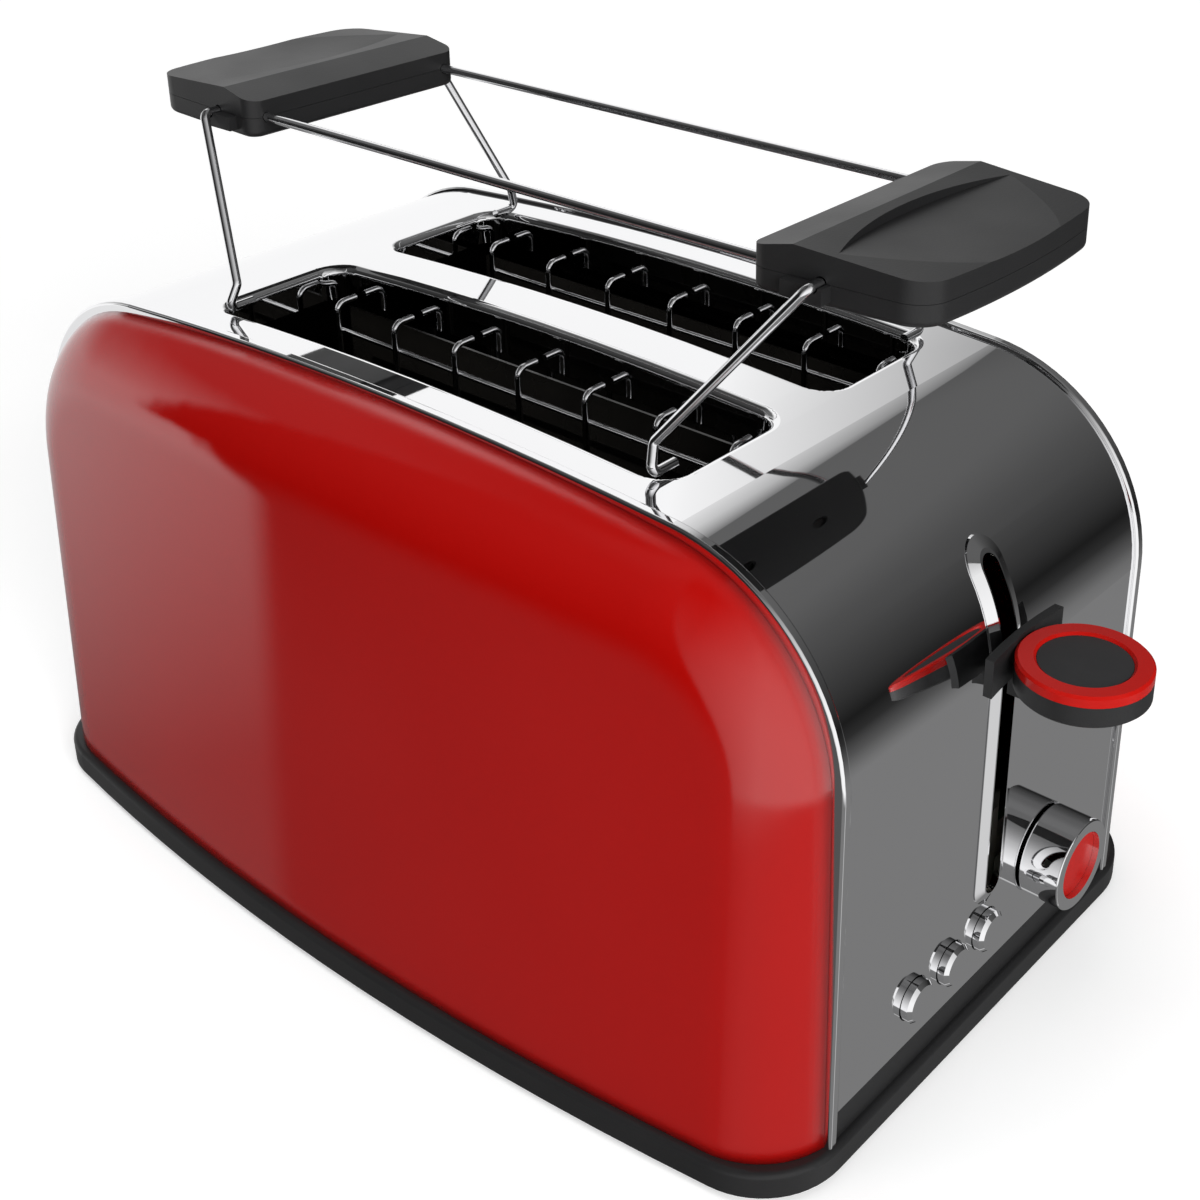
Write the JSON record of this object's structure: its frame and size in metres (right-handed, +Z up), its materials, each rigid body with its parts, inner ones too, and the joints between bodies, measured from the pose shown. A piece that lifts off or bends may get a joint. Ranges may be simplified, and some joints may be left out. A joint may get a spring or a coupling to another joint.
{
  "type": "pop up toaster",
  "caption": "Pop up toaster with red bowed side panels, a mirror-bright arched shell, a side lever, knob, push buttons, and a folding wire warming rack that stands over its bread slots.",
  "frame": {"origin": "on the table, under the middle of the body", "axes": "+X towards the control end, +Z up, -Y the long side that the picture shows"},
  "size_m": [0.3148, 0.185, 0.2078],
  "materials": {
    "chrome": "mirror bright",
    "red_enamel": "high gloss",
    "black_plastic": "fine satin",
    "dark_inlay": "matt",
    "red_plastic": "satin gloss",
    "foot_rubber": "matt",
    "bright_wire": "bright plated",
    "plain_steel": "plain sheet",
    "mica": "flaky matt",
    "heater_ribbon": "dull",
    "pale_plastic": "matt",
    "board_green": "satin",
    "copper_winding": "lacquered"
  },
  "bodies": {
    "body": {"base": "black_plastic", "bottom_plate": "plain_steel", "foot_pads": "foot_rubber", "base_screws": "plain_steel", "chrome_shell": "chrome", "red_panel_front": "red_enamel", "red_panel_rear": "red_enamel", "rim_trim_front": "chrome", "rim_trim_rear": "chrome", "lever_bezel": "chrome", "chassis_front_wall": "plain_steel", "chassis_rear_wall": "plain_steel", "side_liner_front": "plain_steel", "side_liner_rear": "plain_steel", "heater_card_front": "mica", "heater_card_middle": "mica", "heater_card_rear": "mica", "heater_ribbon_front_outer": "heater_ribbon", "heater_ribbon_front_inner": "heater_ribbon", "heater_ribbon_rear_inner": "heater_ribbon", "heater_ribbon_rear_outer": "heater_ribbon", "guide_rod": "plain_steel", "rod_bracket": "plain_steel", "lift_spring": "plain_steel", "magnet_core": "plain_steel", "magnet_coil": "copper_winding", "control_frame": "pale_plastic", "circuit_board": "board_green", "switch_block": "pale_plastic", "potentiometer": "pale_plastic", "cord_gland": "black_plastic"},
    "carriage": {"carriage_bracket": "plain_steel", "carriage_bush": "pale_plastic", "bread_lift_front": "plain_steel", "bread_lift_rear": "plain_steel", "armature": "plain_steel", "lever_paddle": "black_plastic", "lever_ring": "red_plastic", "lever_inlay": "dark_inlay"},
    "knob": {"browning_knob": "chrome", "knob_inlay": "red_plastic"},
    "button_1": {"button_1": "chrome"},
    "button_2": {"button_2": "chrome"},
    "button_3": {"button_3": "chrome"},
    "guard_front_inner": {"guard_front_inner": "bright_wire"},
    "guard_front_outer": {"guard_front_outer": "bright_wire"},
    "guard_rear_inner": {"guard_rear_inner": "bright_wire"},
    "guard_rear_outer": {"guard_rear_outer": "bright_wire"},
    "crumb_tray": {"crumb_tray": "plain_steel"},
    "rack": {"rack_front_rail": "bright_wire", "rack_rear_rail": "bright_wire", "left_handle_top": "black_plastic", "left_handle_bottom": "black_plastic", "right_handle_top": "black_plastic", "right_handle_bottom": "black_plastic", "rack_screws": "plain_steel"},
    "left_leg": {"left_leg": "bright_wire"},
    "right_leg": {"right_leg": "bright_wire"}
  },
  "joints": [
    {"name": "carriage_slide", "type": "slide", "parent": "body", "child": "carriage", "axis": [0, 0, 1], "range_m": [-0.06, 0], "stiffness_N_per_m": 100, "springref_m": 0.03, "deforming": ["lift_spring"]},
    {"name": "knob_turn", "type": "hinge", "parent": "body", "child": "knob", "pos_m": [0.14, 0.0263, 0.0381], "axis": [1, 0, 0], "range_deg": [-135, 135]},
    {"name": "button_1_press", "type": "slide", "parent": "body", "child": "button_1", "axis": [-1, 0, 0], "range_m": [0, 0.002], "stiffness_N_per_m": 300, "springref_m": -0.002},
    {"name": "button_2_press", "type": "slide", "parent": "body", "child": "button_2", "axis": [-1, 0, 0], "range_m": [0, 0.002], "stiffness_N_per_m": 300, "springref_m": -0.002},
    {"name": "button_3_press", "type": "slide", "parent": "body", "child": "button_3", "axis": [-1, 0, 0], "range_m": [0, 0.002], "stiffness_N_per_m": 300, "springref_m": -0.002},
    {"name": "guard_front_inner_tilt", "type": "hinge", "parent": "body", "child": "guard_front_inner", "pos_m": [0.0033, -0.0171, 0.024], "axis": [1, 0, 0], "range_deg": [0, 3.5]},
    {"name": "guard_front_outer_tilt", "type": "hinge", "parent": "body", "child": "guard_front_outer", "pos_m": [0.0033, -0.0421, 0.024], "axis": [1, 0, 0], "range_deg": [-3.5, 0]},
    {"name": "guard_rear_inner_tilt", "type": "hinge", "parent": "body", "child": "guard_rear_inner", "pos_m": [0.0033, 0.0171, 0.024], "axis": [1, 0, 0], "range_deg": [-3.5, 0]},
    {"name": "guard_rear_outer_tilt", "type": "hinge", "parent": "body", "child": "guard_rear_outer", "pos_m": [0.0033, 0.0421, 0.024], "axis": [1, 0, 0], "range_deg": [0, 3.5]},
    {"name": "crumb_tray_slide", "type": "slide", "parent": "body", "child": "crumb_tray", "axis": [-1, 0, 0], "range_m": [0, 0.23]},
    {"name": "rack_lift", "type": "slide", "parent": "body", "child": "rack", "axis": [0, 0, 1], "range_m": [0, 0.12]},
    {"name": "left_leg_fold", "type": "hinge", "parent": "rack", "child": "left_leg", "pos_m": [-0.0846, 0, 0.201], "axis": [0, 1, 0], "range_deg": [-65, 0]},
    {"name": "right_leg_fold", "type": "hinge", "parent": "rack", "child": "right_leg", "pos_m": [0.1091, 0, 0.201], "axis": [0, 1, 0], "range_deg": [0, 50]}
  ],
  "couplings": [
    {"joint": "guard_front_inner_tilt", "follows": "carriage_slide", "rad_per_m": -1.0123},
    {"joint": "guard_front_outer_tilt", "follows": "carriage_slide", "rad_per_m": 1.0123},
    {"joint": "guard_rear_inner_tilt", "follows": "carriage_slide", "rad_per_m": 1.0123},
    {"joint": "guard_rear_outer_tilt", "follows": "carriage_slide", "rad_per_m": -1.0123}
  ]
}
